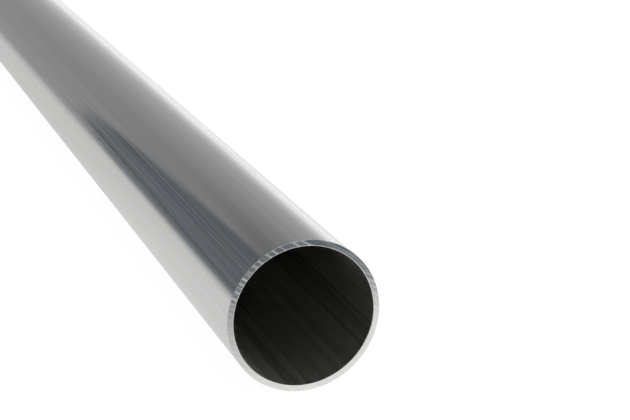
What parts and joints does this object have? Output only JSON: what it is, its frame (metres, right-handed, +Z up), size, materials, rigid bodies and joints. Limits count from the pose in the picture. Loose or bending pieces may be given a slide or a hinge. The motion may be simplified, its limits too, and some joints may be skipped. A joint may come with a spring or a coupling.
{
  "type": "round connecting tube",
  "caption": "Plain round aluminium tube with a thin wall, an open bore and square sawn, deburred ends, used to join clamps and fittings into a frame.",
  "frame": {"origin": "on the tube's axis, halfway along its length", "axes": "+X along the tube, +Z up as it lies on a surface"},
  "size_m": [1, 0.05, 0.05],
  "materials": {
    "aluminium": "bright drawn finish with fine lines along the tube, dark plain bore, sawn end faces"
  },
  "bodies": {
    "root": {"tube": "aluminium"}
  },
  "joints": []
}
